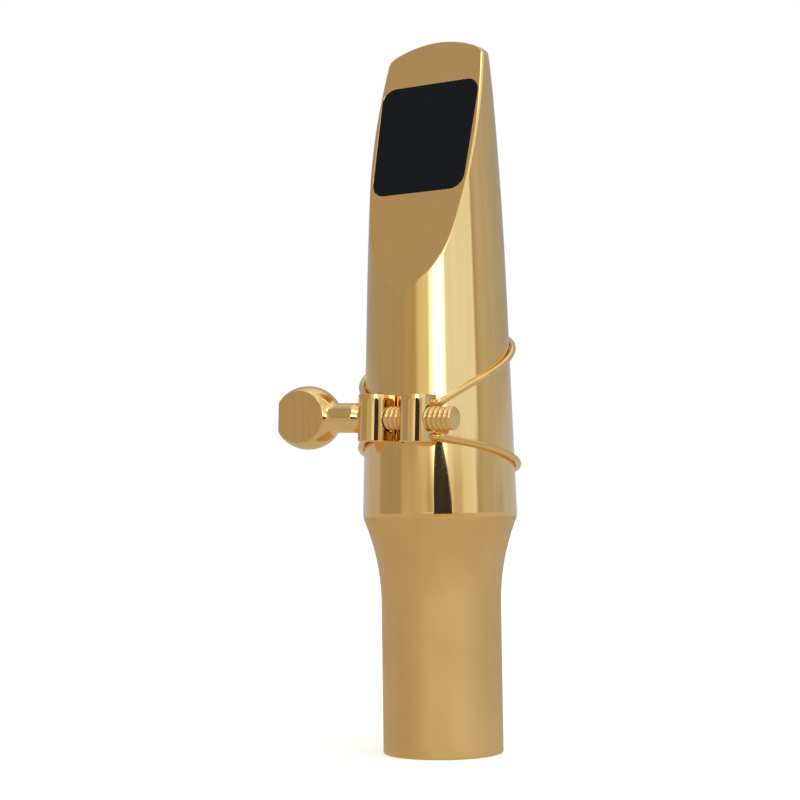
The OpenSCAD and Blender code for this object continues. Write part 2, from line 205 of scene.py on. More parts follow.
def body_out(x, y, z):
    """Distance outside the mouthpiece's outer surface, below the tip."""
    # the edge between beak and barrel is rounded more towards the tip, and in the middle of the beak's lower end
    beak_k = np.interp(z, [66, 80, 88, 94, 99, 104], [0.1, 0.12, 0.28, 0.5, 0.8, 1.0])
    beak_k = beak_k + 0.6 * np.clip(1 - np.abs(x) / 3, 0, 1) * np.clip((76 - z) / 6, 0, 1)
    return smax(smax(np.hypot(x, y) - outside_r(z), beak_out(y, z), beak_k), table_out(y, z), 0.3)


def section(z, start, heading):
    """Casts from start along heading, at height z, to the outer surface."""
    low, high = np.zeros_like(z), np.full_like(z, 16.0)
    for _ in range(36):
        mid = (low + high) / 2
        inside = body_out(start[0] + mid * heading[0], start[1] + mid * heading[1], z) < 0
        low, high = np.where(inside, mid, low), np.where(inside, high, mid)
    return start[0] + low * heading[0], start[1] + low * heading[1]


def tip_top(x):
    """Height of the tip's edge, seen from the front: a long arc with two smaller ones at its corners."""
    centre_x, reach = HALF_WIDTH - TIP_CORNER, TIP_ARC - TIP_CORNER
    centre_z = TIP_Z - TIP_ARC + math.sqrt(reach ** 2 - centre_x ** 2)
    arc = TIP_Z - TIP_ARC + np.sqrt(TIP_ARC ** 2 - x ** 2)
    corner = centre_z + np.sqrt(np.maximum(TIP_CORNER ** 2 - (np.abs(x) - centre_x) ** 2, 0.04))
    return np.where(np.abs(x) > TIP_ARC * centre_x / reach, corner, arc)


def body_skin():
    """The outer surface as one dense grid, cast from a short line inside it, with a rounded rim round the tip."""
    across, around = 150, 128
    u = np.concatenate([np.linspace(-1, 1, across), np.ones(around), np.linspace(1, -1, across), -np.ones(around)])
    turn = (np.arange(around) + 0.5) / around * np.pi
    a = np.concatenate([np.zeros(across), turn, np.full(across, np.pi), np.pi + turn])
    heading = np.stack([np.sin(a), -np.cos(a)])
    columns, warp_z = len(u), 98.0
    low_z = np.concatenate([
        np.linspace(0, 0.3, 7), np.linspace(2, 22, 11), np.linspace(22.6, 34, 30), np.linspace(34.15, 35.6, 22),
        np.linspace(36.5, 65, 20), np.linspace(65.5, 73, 58), np.linspace(73.2, 82, 44), np.linspace(82.3, warp_z, 52)])
    rim = 0.16
    warp = np.linspace(0, 1, 30)[1:]

    def cast(z):
        core = np.interp(z, [0, 55, 72, TIP_Z], [4, 4, 5.5, 7.2])
        middle = np.interp(z, [0, 55, 72, TIP_Z], [0, 0, -1.5, 1.6])
        start = (u * core, middle)
        x, y = section(z, start, heading)
        return x, y, start

    rows = []
    for z in low_z:
        x, y, _ = cast(np.full(columns, z))
        rows.append(np.stack([x, y, np.full(columns, z)], -1))
    # above warp_z the rows bend gradually into the tip's own outline
    for s in warp:
        z = np.full(columns, warp_z)
        for _ in range(12):
            x, y, start = cast(z)
            z = warp_z + s * (tip_top(x) - rim - warp_z)
        rows.append(np.stack([x, y, z], -1))
    core = np.stack([start[0], start[1] * np.ones(columns)], -1)
    last = rows[-1][:, :2]
    length = np.linalg.norm(core - last, axis=1, keepdims=True)
    for k in range(1, 6):
        b = k / 5 * math.pi / 2
        row = last + (core - last) / length * rim * (1 - math.cos(b))
        rows.append(np.column_stack([row, tip_top(row[:, 0]) - rim * (1 - math.sin(b))]))
    edge = rows[-1][:, :2]
    for t in (0.2, 0.4, 0.6, 0.8, 1):
        row = edge + (core - edge) * t
        rows.append(np.column_stack([row, tip_top(row[:, 0])]))
    points = np.concatenate(rows + [[[0, 0, 0]]])
    faces = grid_faces(len(rows), columns)
    faces += fan(list(range(columns)), len(points) - 1)
    obj = make("body_metal", points, faces)
    bm = bmesh.new()
    bm.from_mesh(obj.data)
    bmesh.ops.remove_doubles(bm, verts=bm.verts[:], dist=1e-5)
    # the two long edges of the tip's cap meet along its middle
    bmesh.ops.holes_fill(bm, edges=[e for e in bm.edges if e.is_boundary], sides=0)
    bmesh.ops.recalc_face_normals(bm, faces=bm.faces[:])
    bm.to_mesh(obj.data)
    bm.free()
    return obj


def on_beak():
    """Places X across, Y into the metal, Z up the slope to the tip."""
    return Matrix.Translation((0, BEAK_Y, TIP_Z)) @ Matrix.Rotation(-BEAK_ANGLE, 4, "X")


def pad_outline(margin=0.0, steps=14):
    """The pad's outline in the plane of the beak."""
    top, bottom = -PAD_FROM_TIP - PAD_CORNER, -PAD_FROM_TIP - PAD_LENGTH + PAD_CORNER
    high, low = PAD_TOP - PAD_CORNER, PAD_BOTTOM - PAD_CORNER
    corners = [(high, top, 0), (-high, top, 90), (-low, bottom, 180), (low, bottom, 270)]
    return [(x + (PAD_CORNER + margin) * math.cos(math.radians(a + 90 * i / steps)),
             y + (PAD_CORNER + margin) * math.sin(math.radians(a + 90 * i / steps)))
            for x, y, a in corners for i in range(steps + 1)]


def pad_stack(name, levels):
    """A closed solid from rings of the pad's outline, each (margin, distance into the metal)."""
    rings = [[(p[0], y, p[1]) for p in pad_outline(margin)] for margin, y in levels]
    n = len(rings[0])
    faces = grid_faces(len(rings), n) + [list(range(n)), [(len(rings) - 1) * n + k for k in range(n)]]
    obj = make(name, sum(rings, []), faces)
    obj.data.transform(on_beak())
    return obj


def air_passage():
    """The neck bore, its step and the throat, as one solid to cut away."""
    return lathe("bore", [(0, -2), (BORE_R + 0.45, -2), (BORE_R + 0.45, 0), (BORE_R, 0.45), (BORE_R, BORE_DEPTH),
                          (THROAT_R, BORE_DEPTH + 2), (THROAT_R, WINDOW_Z + 3), (0, WINDOW_Z + 3)])


def chamber():
    """The chamber and the window, bounded on the beak side by the sloping baffle."""
    rail, half_low, half_high = TIP_ARC - 1.5, 5.4, 6.9
    reach = math.asin(half_high / rail)
    low_centre, tip_centre = WINDOW_Z + half_low, TIP_Z - TIP_ARC
    outline = [(half_low * math.cos(a), low_centre + half_low * math.sin(a))
               for a in np.linspace(math.pi, 2 * math.pi, 41)]
    outline += [(rail * math.cos(a), tip_centre + rail * math.sin(a))
                for a in np.linspace(math.pi / 2 - reach, math.pi / 2 + reach, 25)]
    window = outline_solid("window", outline, -20, 10, Matrix.Rotation(math.pi / 2, 4, "X"))
    round_part = lathe("chamber", [(0, WINDOW_Z - 2), (THROAT_R, WINDOW_Z - 2), (THROAT_R, 90), (0, 90)])
    combine(window, round_part, "UNION")
    baffle = outline_solid("baffle", [(-20, 0), (20, 0), (20, 40), (-20, 40)], -60, 20,
                           Matrix.Translation((0, BEAK_Y + 0.667, TIP_Z - 1.5))
                           @ Matrix.Rotation(-math.radians(14), 4, "X"))
    return combine(window, baffle, "INTERSECT")


def mouthpiece():
    body = body_skin()
    recess = pad_stack("recess", [(0.03, PAD_DEPTH), (0.03, 0.05), (0.1, 0.0), (0.8, -0.5)])
    for cutter in (recess, air_passage(), chamber()):
        combine(body, cutter)
    mesh = body.data
    centre = np.array([p.center for p in mesh.polygons])
    normal = np.array([p.normal for p in mesh.polygons])
    x, y, z = centre.T
    radial = np.hypot(x, y)
    outward = (normal[:, :2] * centre[:, :2]).sum(1) / np.maximum(radial, 1e-6)
    # 0 is the polished barrel, 1 the beak, 2 the shank and 3 the inside
    kind = np.zeros(len(z), int)
    kind[(z < SHOULDER_Z - 0.12) & (outward > 0)] = 2
    kind[(beak_out(y, z) > -0.04) & (normal[:, 1] < -0.9) & (z > 66)] = 1
    kind[(outward < 0) & (normal[:, 1] * np.sign(y) < 0.98) & (radial < BORE_R + 0.1) & (z < 66)] = 3
    mesh.materials.clear()
    for m in (polished, beak_satin, shank_satin, inside_gold):
        mesh.materials.append(m)
    mesh.polygons.foreach_set("material_index", kind.astype(np.int32))
    finish_mesh(body, 32)
    return body


def bite_pad():
    """The pad as a slab with a rounded rim, built from rings of its outline."""
    levels = [(0.0, PAD_DEPTH - 0.03), (0.0, 0.02)]
    levels += [(-0.08 * (1 - math.cos(b)), 0.02 - (PAD_PROUD + 0.02) * math.sin(b))
               for b in np.linspace(0.3, math.pi / 2, 6)]
    levels += [(-0.6, -PAD_PROUD), (-1.6, -PAD_PROUD)]
    obj = pad_stack("pad_rubber", levels)
    obj.data.materials.append(rubber)
    return finish_mesh(obj, 40)


# Ligature ------------------------------------------------------------------------------------------------------------
def on_clamp():
    """The tilt of the blocks and the screw about the middle of the clamp."""
    middle = Vector((PAIR_X, 0, SCREW_Z))
    return Matrix.Translation(middle) @ Matrix.Rotation(TILT, 4, "Y") @ Matrix.Translation(-middle)


def clamp_block(name, x):
    """One block: rounded front, flat back and sides, softened edges, and a countersunk hole for the screw."""
    half_w, back = BLOCK_W / 2, -BLOCK_BACK
    reach = math.asin(half_w / BLOCK_ARC)
    middle_x, arc_y = x + half_w, BLOCK_ARC - BLOCK_FRONT
    outline, normals = [], []

    def corner(cx, cy, radius, first, last, count):
        for a in np.linspace(first, last, count):
            outline.append((cx + radius * math.cos(a), cy + radius * math.sin(a)))
            normals.append((math.cos(a), math.sin(a)))

    # a small radius blends the turned front into each flat side, and a larger one softens each back corner
    blend, soft = 0.12, 0.65
    turn = math.asin((half_w - blend) / (BLOCK_ARC - blend))
    blend_y = arc_y - (BLOCK_ARC - blend) * math.cos(turn)
    corner(middle_x - half_w + blend, blend_y, blend, math.pi, 1.5 * math.pi - turn, 5)
    corner(middle_x, arc_y, BLOCK_ARC, 1.5 * math.pi - turn + 0.02, 1.5 * math.pi + turn - 0.02, 69)
    corner(middle_x + half_w - blend, blend_y, blend, 1.5 * math.pi + turn, 2 * math.pi, 5)
    corner(middle_x + half_w - soft, back - soft, soft, 0, math.pi / 2, 7)
    corner(middle_x - half_w + soft, back - soft, soft, math.pi / 2, math.pi, 7)
    outline, normals = np.array(outline), np.array(normals)
    half, rim = BLOCK_H / 2, 0.16
    rounding = [(rim * (1 - math.sin(b)), half - rim + rim * math.cos(b)) for b in np.linspace(0, math.pi / 2, 6)]
    # the polished front also falls away very slightly over its last millimetre, at the top only
    levels = [(inset, -h) for inset, h in rounding] + [(0, 0.2 - half), (0, 0), (0, half - 0.95), (0.003, half - 0.75)]
    levels += [(inset + 0.018, h) for inset, h in rounding[::-1]]
    rings = [np.column_stack([outline - normals * inset, np.full(len(outline), SCREW_Z + h)]) for inset, h in levels]
    n = len(outline)
    points = np.concatenate(rings)
    faces = grid_faces(len(rings), n) + [list(range(n)), [(len(rings) - 1) * n + k for k in range(n)]]
    obj = make(name, points, faces)
    hole, sink = THREAD_R + 0.06, 0.22
    drill = lathe("hole", [(0, -1), (hole + sink + 1, -1), (hole + sink, 0), (hole, sink), (hole, BLOCK_W - sink),
                           (hole + sink, BLOCK_W), (hole + sink + 1, BLOCK_W + 1), (0, BLOCK_W + 1)], 96,
                  Matrix.Translation((x, -SCREW_Y, SCREW_Z)) @ Matrix.Rotation(math.pi / 2, 4, "Y"))
    combine(obj, drill)
    obj.data.materials.clear()
    obj.data.materials.append(clamp_gold)
    return finish_mesh(obj, 30, on_clamp())


def revolve_x(name, stations, radius, sides):
    """A skin round the X axis. radius takes grids of stations and angles; angle 0 is +Z and 90 degrees is -Y."""
    s, a = np.meshgrid(stations, np.arange(sides) * 2 * np.pi / sides, indexing="ij")
    r = radius(s, a)
    points = np.stack([s, -r * np.sin(a), r * np.cos(a)], -1).reshape(-1, 3)
    points = np.concatenate([points, [[stations[0], 0, 0], [stations[-1], 0, 0]]])
    n = len(stations)
    faces = grid_faces(n, sides) + fan(list(range(sides)), n * sides)
    faces += fan([(n - 1) * sides + k for k in range(sides)], n * sides + 1)
    return make(name, points, faces)


def knob_radius(s, a):
    """Radius of the egg-shaped knob, its hollow run into the neck, and the neck with its bevelled end."""
    into = NECK_R + KNOB_FILLET
    t = np.linspace(0, math.pi / 2, 2000)
    steep = np.hypot(np.cos(t) / KNOB_R, np.sin(t) / KNOB_HALF)
    offset_r = KNOB_R * np.cos(t) + KNOB_FILLET * np.cos(t) / KNOB_R / steep
    touch = np.argmin(np.abs(offset_r - into))
    touch_s = KNOB_HALF * math.sin(t[touch])
    centre_s = touch_s + KNOB_FILLET * math.sin(t[touch]) / KNOB_HALF / steep[touch]
    egg = KNOB_R * np.sqrt(np.maximum(1 - (s / KNOB_HALF) ** 2, 0))
    hollow = into - np.sqrt(np.maximum(KNOB_FILLET ** 2 - (s - centre_s) ** 2, 0))
    turned = np.where(s < touch_s, egg, np.where(s < centre_s, hollow, NECK_R))
    bevel = (NECK_R - THREAD_R) * np.clip((s - KNOB_REACH + 0.03 + NECK_BEVEL) / NECK_BEVEL, 0, 1)
    flat = KNOB_FLAT / np.maximum(np.abs(np.sin(a)), 1e-3)
    r = -smax(-turned, -flat, 0.07) - bevel
    edge = np.clip(s + KNOB_END, 0, KNOB_SOFT)
    return r - (KNOB_SOFT - np.sqrt(KNOB_SOFT ** 2 - (KNOB_SOFT - edge) ** 2))


def thread_radius(s, a):
    """Radius of the threaded end: a helix of broad rounded ribs, with a rounded end.

    The helix is left-handed as built. The real thread is right-handed, which a minus before a would give.
    """
    begin = KNOB_REACH + BLOCK_W
    phase = (s - begin) / PITCH + a / (2 * np.pi)
    groove = 0.8 * THREAD_DEPTH * np.abs(2 * (phase % 1) - 1) ** 2.2
    groove *= np.clip((s - begin + 0.4) / 0.5, 0, 1) * np.clip((SCREW_END - THREAD_SOFT - s) / 0.25, 0, 1)
    edge = np.clip(SCREW_END - s, 0, THREAD_SOFT)
    return THREAD_R - groove - (THREAD_SOFT - np.sqrt(THREAD_SOFT ** 2 - (THREAD_SOFT - edge) ** 2)) * 0.9


def thumb_screw():
    bevel_start = KNOB_REACH - 0.03 - NECK_BEVEL
    stations = np.concatenate([-KNOB_END + KNOB_SOFT * (1 - np.cos(np.linspace(0, math.pi / 2, 5))),
                               np.linspace(-KNOB_END + 0.14, 6.2, 130), np.linspace(6.5, bevel_start, 6),
                               np.linspace(bevel_start + 0.04, KNOB_REACH - 0.03, 8)])
    knob = revolve_x("screw_metal", stations, knob_radius, 360)
    stations = np.concatenate([np.linspace(KNOB_REACH - 0.06, KNOB_REACH + 3, 4),
                               np.linspace(KNOB_REACH + 3.2, SCREW_END - THREAD_SOFT, 300),
                               SCREW_END - THREAD_SOFT * np.cos(np.linspace(0.12, math.pi / 2, 9))])
    thread = revolve_x("thread", stations, thread_radius, 96)
    join(knob, thread)
    mesh = knob.data
    normal = np.array([p.normal for p in mesh.polygons])
    centre = np.array([p.center for p in mesh.polygons])
    flat = (np.abs(normal[:, 1]) > 0.995) & (np.abs(centre[:, 1]) > KNOB_FLAT - 0.03) & (centre[:, 0] < 4)
    ends = np.abs(normal[:, 0]) > 0.99
    mesh.materials.clear()
    for m in (screw_gold, brushed_gold, thread_gold):
        mesh.materials.append(m)
    kind = np.where(flat | ends, 1, np.where(centre[:, 0] > KNOB_REACH, 2, 0))
    mesh.polygons.foreach_set("material_index", kind.astype(np.int32))
    return finish_mesh(knob, 38, on_clamp() @ Matrix.Translation((PLAIN_FACE - KNOB_REACH, -SCREW_Y, SCREW_Z)))


def loop_of(z0, slope):
    """Radius and Y centre of a wire's loop, seen along Z."""
    r = float(cone_r(np.array(z0 + slope * WIRE_END_Y))) + WIRE_R + WIRE_GAP
    return r - 0.05, -TAPER * slope * r


def half_wire(side, face, rise, slope):
    """Centre line of half a wire, from the side of a block to the middle of the reed side."""
    z0 = SCREW_Z + rise
    r, cy = loop_of(z0, slope)
    end_x = PAIR_X + (face - PAIR_X) * math.cos(TILT) + rise * math.sin(TILT)
    end_z = SCREW_Z - (face - PAIR_X) * math.sin(TILT) + rise * math.cos(TILT)
    x = side * end_x
    drop = WIRE_END_Y + cy - WIRE_BEND
    heading = math.pi - math.asin((r - WIRE_BEND) / math.hypot(x, drop)) - math.atan2(drop, x)
    flat = [(x - WIRE_SUNK, -WIRE_END_Y)]
    flat += [(x + WIRE_BEND * math.sin(a), WIRE_BEND - WIRE_END_Y - WIRE_BEND * math.cos(a))
             for a in np.linspace(0, heading, 12)]
    leave = flat[-1]
    start = heading - math.pi / 2
    meet = (r * math.cos(start), cy + r * math.sin(start))
    flat += [(leave[0] + t * (meet[0] - leave[0]), leave[1] + t * (meet[1] - leave[1]))
             for t in np.linspace(0, 1, 14)[1:-1]]
    flat += [(r * math.cos(a), cy + r * math.sin(a)) for a in np.linspace(start, math.pi / 2 + 0.004, 90)]
    flat = np.array(flat)
    lift = end_z - z0
    near = np.clip((-flat[:, 1] - WIRE_END_Y / 2) / (WIRE_END_Y / 2), 0, 1)
    z = z0 + slope * (flat[:, 1] + WIRE_END_Y) + lift * near * near * (3 - 2 * near)
    z[0] = z[1]
    return np.column_stack([side * flat[:, 0], flat[:, 1], z])


def tube(name, path, radii, sides=24):
    """A closed round tube along a path, with a radius for each point."""
    ahead = np.gradient(path, axis=0)
    ahead /= np.linalg.norm(ahead, axis=1, keepdims=True)
    side = np.cross(ahead, [0, 0, 1.0])
    side /= np.linalg.norm(side, axis=1, keepdims=True)
    up = np.cross(side, ahead)
    a = np.arange(sides) * 2 * np.pi / sides
    r = np.asarray(radii, float)[:, None, None]
    points = path[:, None] + r * (np.cos(a)[None, :, None] * side[:, None] + np.sin(a)[None, :, None] * up[:, None])
    points = points.reshape(-1, 3)
    n = len(path)
    faces = grid_faces(n, sides) + [list(range(sides)), [(n - 1) * sides + k for k in range(sides)]]
    return make(name, points, faces)


def wire(name, side, face, rise, slope):
    """Half a wire, from the plate's brazed joint to its block."""
    path = half_wire(side, face, rise, slope)
    along = np.concatenate([[0], np.cumsum(np.linalg.norm(np.diff(path, axis=0), axis=1))]) - WIRE_SUNK
    flare = 0.05 * np.exp(-np.maximum(along, 0) / 0.2)
    obj = tube(name, path, WIRE_R + flare)
    obj.data.materials.append(wire_gold)
    finish_mesh(obj, 40)
    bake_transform(obj)
    return obj


def rounded_box(name, low, high, cuts, soft):
    """A box with rounded edges, cut across X so that it can be curved."""
    bm = bmesh.new()
    bmesh.ops.create_cube(bm, size=1)
    size = [h - l for l, h in zip(low, high)]
    for v in bm.verts:
        v.co = Vector([l + (c + 0.5) * s for l, c, s in zip(low, v.co, size)])
    bmesh.ops.bevel(bm, geom=bm.edges[:], offset=soft, segments=4, profile=0.5, affect="EDGES")
    for k in range(1, cuts):
        x = low[0] + size[0] * k / cuts
        bmesh.ops.bisect_plane(bm, geom=bm.verts[:] + bm.edges[:] + bm.faces[:], plane_co=(x, 0, 0),
                               plane_no=(1, 0, 0))
    mesh = bpy.data.meshes.new(name)
    bm.to_mesh(mesh)
    bm.free()
    obj = bpy.data.objects.new(name, mesh)
    scene.collection.objects.link(obj)
    return obj


def reed_plate():
    """The pressure plate: a curved strip with softened edges, two ribs inside, and the beads that braze the wires."""
    out = WIRE_GAP + BRAZE
    half = SHOULDER_R * PLATE_ANGLE / 2
    plate = rounded_box("plate_metal", (-half, out - PLATE_T, PLATE_LOW), (half, out, PLATE_HIGH), 28, 0.28)
    for v in plate.data.vertices:
        angle = v.co.x / SHOULDER_R
        r = SHOULDER_R - TAPER * (v.co.z - SHOULDER_Z) + v.co.y
        v.co = (r * math.sin(angle), r * math.cos(angle), v.co.z)
    parts = []
    lean = math.atan(TAPER)
    rib_top = SHOULDER_R - TAPER * (PLATE_LOW - SHOULDER_Z) + out - PLATE_T
    for side in (-1, 1):
        rib = rounded_box("rib", (-0.5, -RIB_H, 0.5), (0.5, PLATE_T / 2, PLATE_HIGH - PLATE_LOW - 0.5), 1, 0.14)
        rib.data.transform(Matrix.Translation((side * RIB_X, math.sqrt(rib_top ** 2 - RIB_X ** 2), PLATE_LOW))
                           @ Matrix.Rotation(lean, 4, "X"))
        parts.append(rib)
    inset, reach, count = 0.42, 0.36, 40
    for _, rise, slope in WIRES:
        z0 = SCREW_Z + rise
        r, cy = loop_of(z0, slope)
        a = np.linspace(math.pi / 2 - reach, math.pi / 2 + reach, count)
        path = np.column_stack([(r - inset) * np.cos(a), cy + (r - inset) * np.sin(a),
                                z0 + slope * (cy + r * np.sin(a) + WIRE_END_Y)])
        fade = np.sin(np.linspace(0, math.pi, count)) ** 0.25
        parts.append(tube("bead", path, 0.1 + 0.5 * fade))
    join(plate, *parts)
    plate.data.materials.append(clamp_gold)
    return finish_mesh(plate, 40)


# Materials -----------------------------------------------------------------------------------------------------------
def material(name):
    m = bpy.data.materials.new(name)
    m.use_nodes = True
    nodes, links = m.node_tree.nodes, m.node_tree.links
    return m, nodes, links, nodes["Principled BSDF"]


def noise(nodes, links, stretch, detail, roughness=0.5):
    """Noise in the object's own coordinates, with its features stretched by a different amount along each axis."""
    place = nodes.new("ShaderNodeTexCoord")
    mapping = nodes.new("ShaderNodeMapping")
    mapping.inputs["Scale"].default_value = stretch
    links.new(place.outputs["Object"], mapping.inputs["Vector"])
    tex = nodes.new("ShaderNodeTexNoise")
    tex.inputs["Scale"].default_value = 1.0
    tex.inputs["Detail"].default_value = detail
    tex.inputs["Roughness"].default_value = roughness
    links.new(mapping.outputs["Vector"], tex.inputs["Vector"])
    return tex.outputs["Fac"]


def spread(nodes, links, value, low, high):
    """Maps noise from its usual range to low..high."""
    node = nodes.new("ShaderNodeMapRange")
    node.inputs["From Min"].default_value = 0.3
    node.inputs["From Max"].default_value = 0.7
    node.inputs["To Min"].default_value = low
    node.inputs["To Max"].default_value = high
    links.new(value, node.inputs["Value"])
    return node.outputs["Result"]


def tint(nodes, links, value, a, b):
    """A colour that runs from a to b with the noise."""
    ramp = nodes.new("ShaderNodeValToRGB")
    ramp.color_ramp.elements[0].position, ramp.color_ramp.elements[0].color = 0.35, (*a, 1)
    ramp.color_ramp.elements[1].position, ramp.color_ramp.elements[1].color = 0.65, (*b, 1)
    links.new(value, ramp.inputs["Fac"])
    return ramp.outputs["Color"]


def bump(nodes, links, shader, layers):
    """Adds bump layers, each (height, distance in metres)."""
    last = None
    for height, distance in layers:
        node = nodes.new("ShaderNodeBump")
        node.inputs["Strength"].default_value = 1.0
        node.inputs["Distance"].default_value = distance
        links.new(height, node.inputs["Height"])
        if last:
            links.new(last, node.inputs["Normal"])
        last = node.outputs["Normal"]
    links.new(last, shader.inputs["Normal"])


GOLD = (0.9, 0.63, 0.28)


def gold(name, roughness, stretch, streak, wave=0.0, darker=0.93, patch=(160, 160, 90)):
    """Gold plate: roughness range, the stretch of its polishing lines, their depth, a slow waviness, and patches."""
    m, nodes, links, shader = material(name)
    shader.inputs["Metallic"].default_value = 1.0
    lines = noise(nodes, links, stretch, 3.0, 0.55)
    cloud = noise(nodes, links, patch, 3.0)
    dark = (GOLD[0] * darker, GOLD[1] * (darker - 0.015), GOLD[2] * (darker - 0.05))
    links.new(tint(nodes, links, cloud, dark, GOLD), shader.inputs["Base Color"])
    links.new(spread(nodes, links, lines, *roughness), shader.inputs["Roughness"])
    layers = [(lines, streak)]
    if wave:
        layers.append((noise(nodes, links, (260, 260, 60), 1.0), wave))
    bump(nodes, links, shader, layers)
    return m


polished = gold("gold_polished", (0.03, 0.07), (2600, 2600, 40), 5e-7, 2e-6, 0.955, (1300, 1300, 18))
beak_satin = gold("gold_beak", (0.16, 0.22), (3200, 3200, 60), 8e-7, darker=0.96)
shank_satin = gold("gold_shank", (0.44, 0.52), (300, 300, 220), 1.5e-6, darker=0.93)
inside_gold = gold("gold_inside", (0.22, 0.34), (300, 300, 3000), 2e-6, darker=0.9)
clamp_gold = gold("gold_clamp", (0.03, 0.07), (900, 900, 500), 6e-7, darker=0.96)
wire_gold = gold("gold_wire", (0.08, 0.14), (1200, 1200, 1200), 1e-6, darker=0.95)
screw_gold = gold("gold_screw", (0.05, 0.09), (1100, 1100, 1100), 8e-7, darker=0.95)
thread_gold = gold("gold_thread", (0.24, 0.32), (1100, 1100, 1100), 8e-7, darker=0.92)
brushed_gold = gold("gold_brushed", (0.2, 0.28), (4200, 300, 120), 1.5e-6, 0.0, 0.93, (1500, 200, 40))


def rubber_material():
    m, nodes, links, shader = material("rubber_black")
    grain = noise(nodes, links, (6000, 6000, 6000), 2.0)
    cloud = noise(nodes, links, (300, 300, 300), 3.0)
    shade = tint(nodes, links, cloud, (0.0048, 0.0062, 0.0092), (0.0068, 0.0083, 0.0118))
    links.new(shade, shader.inputs["Base Color"])
    links.new(spread(nodes, links, grain, 0.55, 0.75), shader.inputs["Roughness"])
    shader.inputs["Specular IOR Level"].default_value = 0.12
    bump(nodes, links, shader, [(grain, 1.2e-5)])
    return m


rubber = rubber_material()

# The object ----------------------------------------------------------------------------------------------------------
body = mouthpiece()
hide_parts("mouthpiece_body")
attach(body, "mouthpiece")

pad = bite_pad()
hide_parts("bite_pad")
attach(pad, "mouthpiece")

plate = reed_plate()
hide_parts("reed_plate")
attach(plate, "ligature")

for wire_name, rise, slope in WIRES:
    for side, face, block in ((1, TAPPED_FACE, "tapped_block"), (-1, PLAIN_FACE, "plain_block")):
        half = wire(wire_name + ("_right" if side > 0 else "_left"), side, face, rise, slope)
        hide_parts(wire_name)

for block_name, x in (("plain_block", PLAIN_FACE), ("tapped_block", TAPPED_X)):
    piece = clamp_block(block_name + "_metal", x)
    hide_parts(block_name)
    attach(piece, block_name)

screw = thumb_screw()
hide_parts("thumb_screw")
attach(screw, "thumb_screw")


# Floor ---------------------------------------------------------------------------------------------------------------
def pale_floor():
    obj = make("floor", [(-4000, -4000, -0.02), (4000, -4000, -0.02), (4000, 4000, -0.02), (-4000, 4000, -0.02)],
               [[0, 1, 2, 3]])
    finish_mesh(obj)
    m, nodes, links, shader = material("floor_pale")
    shader.inputs["Base Color"].default_value = (0.9, 0.9, 0.9, 1)
    shader.inputs["Roughness"].default_value = 0.9
    shader.inputs["Specular IOR Level"].default_value = 0.0
    shader.inputs["Emission Color"].default_value = (1, 1, 1, 1)
    shader.inputs["Emission Strength"].default_value = 0.45
    obj.data.materials.append(m)
    obj.visible_glossy = False


pale_floor()


def dark_card():
    """The dark shape of the camera and its stand, which the polished metal mirrors as thin dark bands."""
    outline = [(-51, 10), (84, 10), (84, 54), (80, 57), (66, 61), (48, 66), (28, 70.5), (11, 75), (11, 80), (-31, 80),
               (-31, 75), (-40, 70), (-46, 66), (-50, 60)]
    turn, reach = PHOTO_AZIMUTH, 286
    right, out = (math.cos(turn), math.sin(turn)), (math.sin(turn), -math.cos(turn))
    obj = make("dark_card", [(x * right[0] + reach * out[0], x * right[1] + reach * out[1], z) for x, z in outline],
               [list(range(len(outline)))])
    finish_mesh(obj)
    m, nodes, links, shader = material("card_black")
    shader.inputs["Base Color"].default_value = (0.01, 0.01, 0.01, 1)
    shader.inputs["Roughness"].default_value = 1.0
    shader.inputs["Specular IOR Level"].default_value = 0.0
    shader.inputs["Emission Color"].default_value = (0.03, 0.028, 0.038, 1)
    shader.inputs["Emission Strength"].default_value = 1.0
    obj.data.materials.append(m)
    obj.visible_camera = False
    obj.visible_shadow = False


dark_card()


# Light ---------------------------------------------------------------------------------------------------------------
# The studio's soft panels and the darker gaps between them, as (azimuth, colour) from behind round to behind again.
# Azimuth 0 is -Y and 90 is +X, in degrees.
LEVEL_PANELS = [
    (-180, (0.55, 0.57, 0.66)), (-104, (0.53, 0.57, 0.64)), (-97, (0.54, 0.53, 0.56)), (-75, (0.55, 0.52, 0.53)),
    (-68, (0.41, 0.37, 0.32)), (-31, (0.41, 0.35, 0.27)), (-26, (0.58, 0.51, 0.38)), (4, (0.58, 0.51, 0.38)),
    (8, (0.92, 0.93, 0.86)), (43, (0.95, 0.95, 0.9)), (47, (0.85, 0.83, 0.75)), (51, (0.53, 0.44, 0.38)),
    (60, (0.62, 0.57, 0.46)), (66, (0.8, 0.78, 0.74)), (72, (0.85, 0.92, 0.88)), (85, (0.86, 0.93, 0.94)),
    (90, (0.42, 0.36, 0.26)), (95, (0.46, 0.42, 0.34)), (99, (0.52, 0.5, 0.43)), (115, (0.52, 0.5, 0.47)),
    (137, (0.47, 0.47, 0.5)), (146, (0.56, 0.59, 0.74)), (180, (0.55, 0.57, 0.66))]
